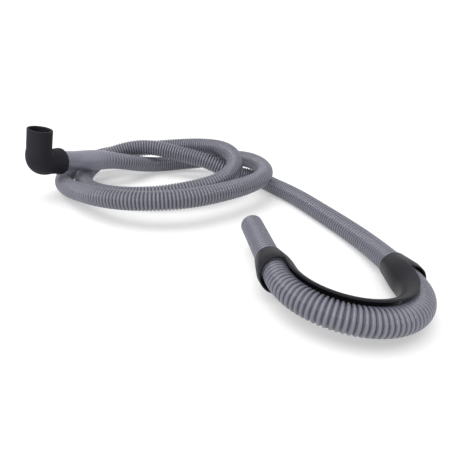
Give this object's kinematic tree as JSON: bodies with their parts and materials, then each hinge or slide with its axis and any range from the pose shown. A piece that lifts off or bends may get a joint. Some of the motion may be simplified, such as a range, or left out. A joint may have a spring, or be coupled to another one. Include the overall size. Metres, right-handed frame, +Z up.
{
  "type": "washing machine drain hose",
  "caption": "Corrugated grey drain hose with a black rubber elbow on one end and a black U-shaped hook near the open end.",
  "frame": {"origin": "on the floor, under the middle of the whole part's box", "axes": "+Z up from the floor; +X towards the hook's outer leg, seen from the front with the elbow on the left; +Y from the hook's bend towards the coiled end"},
  "size_m": [0.4457, 0.4622, 0.0973],
  "materials": {
    "grey_plastic": "satin polypropylene",
    "black_rubber": "matte",
    "black_moulding": "satin"
  },
  "bodies": {
    "root": {"hose": "grey_plastic", "elbow": "black_rubber", "hook": "black_moulding"}
  },
  "joints": []
}
